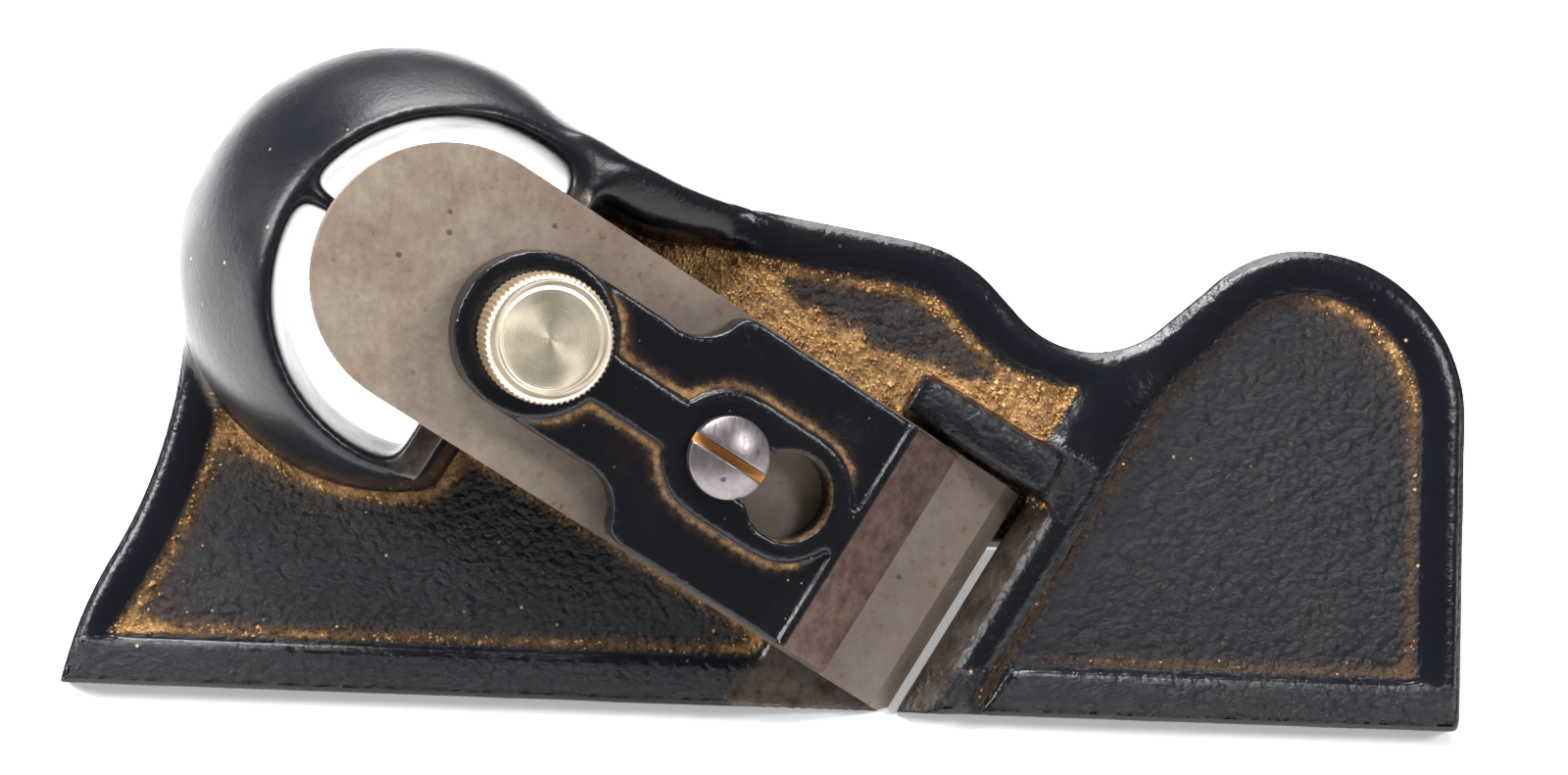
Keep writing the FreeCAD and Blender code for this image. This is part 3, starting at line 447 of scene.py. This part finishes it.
class Nodes:
    """A material's node tree, with short ways to add nodes and join them."""

    def __init__(self, name):
        self.material = bpy.data.materials.new(name)
        self.material.use_nodes = True
        self.tree = self.material.node_tree
        self.tree.nodes.clear()
        self.surface = self.add("ShaderNodeBsdfPrincipled")
        output = self.add("ShaderNodeOutputMaterial")
        self.join(self.surface.outputs["BSDF"], output.inputs["Surface"])

    def add(self, kind, **settings):
        node = self.tree.nodes.new(kind)
        for key, value in settings.items():
            setattr(node, key, value)
        return node

    def join(self, source, target):
        self.tree.links.new(source, target)

    def put(self, value, target):
        """Link a socket, or set a plain value."""
        if isinstance(value, bpy.types.NodeSocket):
            self.join(value, target)
        else:
            target.default_value = value

    def where(self):
        return self.add("ShaderNodeTexCoord").outputs["Object"]

    def mask(self, name):
        return self.add("ShaderNodeAttribute", attribute_name=name).outputs["Fac"]

    def noise(self, scale, detail=4.0, rough=0.55, distortion=0.0, at=None):
        """Noise with features of a size in mm."""
        node = self.add("ShaderNodeTexNoise")
        node.inputs["Scale"].default_value = 1000.0 / scale
        node.inputs["Detail"].default_value = detail
        node.inputs["Roughness"].default_value = rough
        node.inputs["Distortion"].default_value = distortion
        self.join(at or self.where(), node.inputs["Vector"])
        return node.outputs["Fac"]

    def cells(self, scale, at=None):
        """Distance to scattered points, a size in mm apart."""
        node = self.add("ShaderNodeTexVoronoi")
        node.inputs["Scale"].default_value = 1000.0 / scale
        self.join(at or self.where(), node.inputs["Vector"])
        return node.outputs["Distance"]

    def ramp(self, value, low, high, start=0.0, end=1.0):
        """Map a value from low..high to start..end, smoothly and clamped."""
        node = self.add("ShaderNodeMapRange", interpolation_type="SMOOTHSTEP", clamp=True)
        for key, number in zip(("From Min", "From Max", "To Min", "To Max"), (low, high, start, end)):
            node.inputs[key].default_value = number
        self.put(value, node.inputs["Value"])
        return node.outputs["Result"]

    def math(self, kind, first, second=0.0):
        node = self.add("ShaderNodeMath", operation=kind)
        self.put(first, node.inputs[0])
        self.put(second, node.inputs[1])
        return node.outputs[0]

    def mix(self, amount, first, second):
        """Mix two colours."""
        node = self.add("ShaderNodeMix", data_type="RGBA")
        self.put(amount, node.inputs["Factor"])
        self.put(first, node.inputs[6])
        self.put(second, node.inputs[7])
        return node.outputs[2]

    def bump(self, height, distance, strength=1.0, under=None):
        """A bump of a height in mm."""
        node = self.add("ShaderNodeBump")
        node.inputs["Distance"].default_value = distance * MM
        node.inputs["Strength"].default_value = strength
        self.put(height, node.inputs["Height"])
        if under is not None:
            self.join(under, node.inputs["Normal"])
        return node.outputs["Normal"]

    def finish(self, color, rough, normal=None, **fixed):
        self.put(color, self.surface.inputs["Base Color"])
        self.put(rough, self.surface.inputs["Roughness"])
        if normal is not None:
            self.join(normal, self.surface.inputs["Normal"])
        for key, value in fixed.items():
            self.put(value, self.surface.inputs[key.replace("_", " ")])
        return self.material


def rgb(red, green, blue):
    """A colour written as screen values of 0 to 255."""
    linear = [((value / 255 + 0.055) / 1.055) ** 2.4 if value > 10 else value / 255 / 12.92
              for value in (red, green, blue)]
    return (*linear, 1.0)


JAPAN = rgb(15, 16, 22)
JAPAN_BROWN = rgb(46, 30, 20)
DUST_PALE = rgb(222, 180, 124)
DUST_MID = rgb(176, 130, 78)
DUST_DARK = rgb(92, 62, 38)
RUST = rgb(98, 54, 32)
GROUND = rgb(92, 84, 78)


def saw_dust(n):
    """The colour of saw dust: pale and dark grains."""
    grains = n.ramp(n.noise(0.55, 4.0, 0.7), 0.32, 0.68)
    clumps = n.ramp(n.noise(2.4, 4.0, 0.65), 0.38, 0.62)
    color = n.mix(grains, DUST_MID, DUST_PALE)
    return n.mix(n.math("MULTIPLY", n.math("SUBTRACT", 1.0, clumps), 0.6), color, DUST_DARK)


def japan(name, speckled, thick):
    """Black japan with a fine orange peel, saw dust where the masks say, and small specks."""
    n = Nodes(name)
    patches = n.noise(9.0, 4.0, 0.6)
    fine = n.noise(0.6, 2.0, 0.5)
    grit = n.noise(1.0, 5.0, 0.65)
    ragged = n.noise(0.9, 6.0, 0.8)
    coarse = n.noise(4.5, 4.0, 0.65)
    edge = n.math("ADD", n.math("MULTIPLY", ragged, 0.55), n.math("MULTIPLY", coarse, 0.45))
    laid = n.math("ADD", n.mask("dust"), n.math("MULTIPLY", n.math("SUBTRACT", edge, 0.5), 2.6))
    laid = n.math("MULTIPLY", n.ramp(laid, 0.36, 0.86), n.ramp(n.mask("dust"), 0.04, 0.2, 0.0, thick))
    paint = n.mix(n.ramp(patches, 0.55, 0.8, 0.0, 0.35), JAPAN, JAPAN_BROWN)
    paint = n.mix(n.math("MULTIPLY", n.mask("cavity"), 0.8), paint, JAPAN_BROWN)
    specks = n.ramp(n.cells(speckled), 0.075, 0.04)
    specks = n.math("MULTIPLY", specks, n.ramp(coarse, 0.42, 0.6))
    haze = n.math("MULTIPLY", n.ramp(n.mask("dust"), 0.0, 0.7, 0.0, 0.35), n.ramp(ragged, 0.35, 0.65))
    color = n.mix(haze, paint, DUST_MID)
    color = n.mix(laid, color, saw_dust(n))
    color = n.mix(n.math("MULTIPLY", specks, 0.6), color, DUST_PALE)
    worn = n.math("MULTIPLY", n.mask("ridge"), n.ramp(ragged, 0.52, 0.66, 0.0, 0.18))
    color = n.mix(worn, color, GROUND)
    gloss = n.math("ADD", n.ramp(patches, 0.3, 0.7, 0.13, 0.23), n.math("MULTIPLY", n.mask("satin"), 0.14))
    rough = n.math("MINIMUM", n.math("ADD", gloss, n.math("MULTIPLY", n.math("MAXIMUM", laid, haze), 0.7)), 1.0)
    normal = n.bump(fine, 0.05, 0.6)
    normal = n.bump(n.math("MULTIPLY", grit, n.mask("pebbled")), 0.75, 1.0, normal)
    domes = n.math("POWER", n.cells(0.8), 2.0)
    normal = n.bump(n.math("MULTIPLY", n.math("SUBTRACT", 1.0, domes), n.mask("pebbled")), 0.26, 1.0, normal)
    normal = n.bump(n.math("MULTIPLY", laid, n.noise(0.6, 5.0, 0.75)), 0.7, 1.0, normal)
    return n, color, rough, normal, ragged


def body_japan():
    """Japan on the casting, with bare ground iron on the sole, fence, bed and mouth."""
    n, color, rough, normal, ragged = japan("japan_casting", 3.2, 1.0)
    bare = n.math("MAXIMUM", n.math("MULTIPLY", n.mask("machined"), 0.9), n.mask("bare"))
    bare = n.math("MULTIPLY", bare, n.ramp(ragged, 0.3, 0.5, 0.55, 1.0))
    iron = n.mix(n.ramp(n.noise(3.0, 5.0, 0.7), 0.4, 0.65), GROUND, rgb(66, 54, 46))
    color = n.mix(n.math("MULTIPLY", bare, 0.85), color, iron)
    rough = n.math("MAXIMUM", rough, n.math("MULTIPLY", bare, 0.42))
    n.put(n.math("MULTIPLY", bare, 0.7), n.surface.inputs["Metallic"])
    return n.finish(color, rough, normal, Specular_IOR_Level=0.45, IOR=1.36)


def cap_japan():
    """Japan on the lever cap, bare and brown on its nose, worn bright along the nose's edge."""
    n, color, rough, normal, ragged = japan("japan_cap", 1.7, 0.62)
    nose = n.mask("nose")
    brown = n.mix(n.ramp(n.noise(2.2, 6.0, 0.7), 0.35, 0.65), rgb(90, 72, 63), rgb(64, 46, 39))
    brown = n.mix(n.ramp(n.noise(0.7, 3.0, 0.6), 0.6, 0.75, 0.0, 0.7), brown, rgb(44, 28, 22))
    color = n.mix(nose, color, brown)
    rough = n.math("MAXIMUM", rough, n.math("MULTIPLY", nose, 0.5))
    n.put(n.math("MULTIPLY", nose, 0.45), n.surface.inputs["Metallic"])
    return n.finish(color, rough, normal, Specular_IOR_Level=0.45, IOR=1.36)


def steel(name, shade, warm, rusty, rough=0.42, metal=0.7, dusty=False, fades=False):
    """Bare worked steel with grinding lines, dark pits and brown rust; it may darken down the bed to the edge."""
    n = Nodes(name)
    lines = n.add("ShaderNodeMapping")
    lines.inputs["Rotation"].default_value = BED.to_euler()
    lines.inputs["Scale"].default_value = (5.0, 1.0, 1.0)
    n.join(n.where(), lines.inputs["Vector"])
    grain = n.noise(1.6, 5.0, 0.7, at=lines.outputs["Vector"])
    cloud = n.noise(12.0, 5.0, 0.62)
    mottle = n.noise(1.3, 6.0, 0.75)
    pits = n.math("MULTIPLY", n.ramp(n.cells(3.2), 0.15, 0.06), n.ramp(n.noise(8.0), 0.4, 0.6))
    freckle = n.math("MULTIPLY", n.ramp(n.noise(1.1, 4.0, 0.65), 0.58, 0.72), n.ramp(cloud, 0.42, 0.62))
    color = n.mix(n.ramp(cloud, 0.35, 0.65), shade, warm)
    color = n.mix(n.ramp(mottle, 0.35, 0.7, 0.0, 0.3), color, rgb(74, 64, 56))
    if fades:
        along = n.add("ShaderNodeVectorMath", operation="DOT_PRODUCT")
        n.join(n.where(), along.inputs[0])
        along.inputs[1].default_value = BED.to_3x3().col[0]
        edge = BED.translation.dot(BED.to_3x3().col[0])
        color = n.mix(n.ramp(along.outputs["Value"], edge - 0.07, edge - 0.035, 0.0, 0.55), color, rgb(88, 78, 72))
    color = n.mix(n.math("MULTIPLY", freckle, rusty), color, RUST)
    color = n.mix(n.math("MULTIPLY", pits, 0.7), color, rgb(48, 34, 28))
    roughness = n.ramp(grain, 0.3, 0.7, rough, rough + 0.14)
    normal = n.bump(grain, 0.02, 0.5)
    normal = n.bump(n.math("SUBTRACT", 1.0, pits), 0.06, 0.6, normal)
    if dusty:
        laid = n.math("MULTIPLY", n.mask("dust"), n.ramp(n.noise(0.8, 5.0, 0.7), 0.25, 0.45, 0.3, 1.0))
        color = n.mix(laid, color, rgb(190, 132, 66))
        roughness = n.math("MAXIMUM", roughness, laid)
        metallic = n.math("MULTIPLY", n.math("SUBTRACT", 1.0, laid), metal)
    else:
        metallic = metal
    return n.finish(color, roughness, normal, Metallic=metallic)


def nickel():
    """Worn nickel, turned in fine rings on top, dusty in the knurl."""
    n = Nodes("nickel_turned")
    spot = n.add("ShaderNodeSeparateXYZ")
    n.join(n.where(), spot.inputs["Vector"])
    height = n.math("DIVIDE", spot.outputs["Z"], MM)
    across = n.math("MULTIPLY", spot.outputs["X"], spot.outputs["X"])
    radius = n.math("SQRT", n.math("ADD", across, n.math("MULTIPLY", spot.outputs["Y"], spot.outputs["Y"])))
    radius = n.math("DIVIDE", radius, MM)
    rings = n.add("ShaderNodeTexNoise", noise_dimensions="1D")
    rings.inputs["Scale"].default_value = 7.0
    rings.inputs["Detail"].default_value = 3.0
    n.join(radius, rings.inputs["W"])
    cloud = n.noise(3.0, 4.0, 0.6)
    color = n.mix(n.ramp(cloud, 0.35, 0.65), rgb(224, 210, 190), rgb(204, 190, 168))
    color = n.mix(n.ramp(rings.outputs["Fac"], 0.4, 0.65, 0.0, 0.3), color, rgb(150, 142, 124))
    color = n.mix(n.ramp(n.noise(2.2, 4.0, 0.6), 0.64, 0.76, 0.0, 0.5), color, rgb(122, 100, 66))
    knurl = n.math("MULTIPLY", n.ramp(radius, THUMB_RADIUS - 0.3, THUMB_RADIUS - 0.12),
                   n.ramp(height, THUMB_HEIGHT - 0.2, THUMB_HEIGHT - 0.6))
    grime = n.math("MULTIPLY", knurl, n.ramp(n.noise(1.2, 4.0, 0.7), 0.3, 0.6, 0.35, 0.9))
    color = n.mix(n.math("MULTIPLY", grime, 0.7), color, rgb(168, 128, 76))
    rough = n.math("ADD", 0.34, n.math("MULTIPLY", grime, 0.4))
    tangent = n.add("ShaderNodeTangent", direction_type="RADIAL", axis="Z")
    n.join(tangent.outputs["Tangent"], n.surface.inputs["Tangent"])
    normal = n.bump(rings.outputs["Fac"], 0.02, 0.6)
    return n.finish(color, rough, normal, Metallic=0.85, Anisotropic=0.8)


def grain_dust():
    """Loose grains of saw dust."""
    n = Nodes("loose_dust")
    return n.finish(saw_dust(n), 0.9, Specular_IOR_Level=0.2)


# Studio ----------------------------------------------------------------------------------------------------------

CAMERA_FOOT = (75.2, 8.8)       # tool frame, mm: where the camera stands over the broad face
CAMERA_AIM = (77.5, 34.9)       # tool frame, mm: the middle of the picture
CAMERA_HEIGHT = 335.0           # mm above the sole
RIM = 5.0
ROLL = 2.05
LENS_PER_MM = 36.0 / 1600 * 9.38


def make_camera():
    """A camera square to the broad face, turned a little, as close as the palm ring's perspective asks."""
    place = TOOL @ (Vector((CAMERA_FOOT[0], CAMERA_FOOT[1], CAMERA_HEIGHT)) * MM)
    aim = TOOL @ (Vector((CAMERA_AIM[0], CAMERA_AIM[1], RIM)) * MM)
    turn = TOOL.to_3x3()
    angle = math.radians(ROLL)
    level = turn @ Vector((-math.sin(angle), math.cos(angle), 0))
    back = (place - aim).normalized()
    right = level.cross(back).normalized()
    up = back.cross(right)
    data = bpy.data.cameras.new("camera")
    data.lens = LENS_PER_MM * (CAMERA_HEIGHT - RIM)
    data.clip_start = 0.01
    data.clip_end = 20
    camera = bpy.data.objects.new("camera", data)
    camera.matrix_world = Matrix.Translation(place) @ Matrix((right, up, back)).transposed().to_4x4()
    bpy.context.scene.collection.objects.link(camera)
    bpy.context.scene.camera = camera


def make_floor():
    """A wide pale floor that keeps the object's shadow."""
    mesh = bpy.data.meshes.new("floor")
    half = 6.0
    mesh.from_pydata([(-half, -half, 0), (half, -half, 0), (half, half, 0), (-half, half, 0)], [], [(0, 1, 2, 3)])
    floor = new_object("floor", mesh)
    n = Nodes("floor_white")
    n.finish(rgb(240, 240, 240), 0.9, Specular_IOR_Level=0.1)
    path = n.add("ShaderNodeLightPath")
    shown = n.math("MAXIMUM", path.outputs["Is Camera Ray"], path.outputs["Is Glossy Ray"])
    shown = n.math("MAXIMUM", shown, path.outputs["Is Transmission Ray"])
    n.surface.inputs["Emission Color"].default_value = (1, 1, 1, 1)
    n.join(n.math("MULTIPLY", shown, 0.38), n.surface.inputs["Emission Strength"])
    floor.data.materials.append(n.material)


def area_light(name, place, aim, size, watts, color=(1, 1, 1)):
    """A soft box at a place in the row frame, in metres."""
    data = bpy.data.lights.new(name, "AREA")
    data.shape = "RECTANGLE"
    data.size, data.size_y = size
    data.energy = watts
    data.color = color
    light = bpy.data.objects.new(name, data)
    light.location = place
    light.rotation_mode = "QUATERNION"
    light.rotation_quaternion = (Vector(aim) - Vector(place)).to_track_quat("-Z", "Y")
    bpy.context.scene.collection.objects.link(light)


def make_lights():
    """A narrow soft box overhead, a broad one behind it, smaller ones at heel and toe, and a pale room."""
    area_light("key", (-0.12, 0.14, 0.72), (0, 0, 0.03), (0.4, 0.1), 9.0)
    area_light("sky", (-0.05, 0.5, 0.6), (0, 0, 0.03), (0.6, 0.3), 8.0)
    area_light("heel_fill", (-0.6, -0.05, 0.42), (-0.02, 0, 0.03), (0.25, 0.3), 6.5)
    area_light("toe_fill", (0.55, -0.25, 0.5), (0, 0, 0.02), (0.2, 0.2), 3.2)
    world = bpy.data.worlds.new("room")
    bpy.context.scene.world = world
    world.use_nodes = True
    shade = world.node_tree.nodes["Background"]
    shade.inputs["Color"].default_value = (1, 1, 1, 1)
    shade.inputs["Strength"].default_value = 0.22


def dress(node, material):
    """Give a CAD node's object one material."""
    mesh = frame["nodes"][node].data
    mesh.materials.clear()
    mesh.materials.append(material)


def main():
    body, dust = make_body()
    body.data.materials.append(body_japan())
    make_crumbs(body, dust).data.materials.append(grain_dust())
    make_cap().data.materials.append(cap_japan())
    make_thumb_head().data.materials.append(nickel())
    make_cap_screw().data.materials.append(
        steel("screw_steel", rgb(134, 126, 128), rgb(110, 102, 104), 0.5, rough=0.3, metal=0.85, dusty=True))
    dress("cutter", steel("cutter_steel", rgb(158, 144, 130), rgb(134, 116, 102), 0.85, metal=0.4, fades=True))
    dress("thumb_screw_stud", steel("stud_steel", rgb(120, 110, 104), rgb(100, 92, 88), 0.6))
    make_floor()
    make_lights()
    make_camera()
    bpy.context.scene.view_settings.view_transform = "Standard"


main()
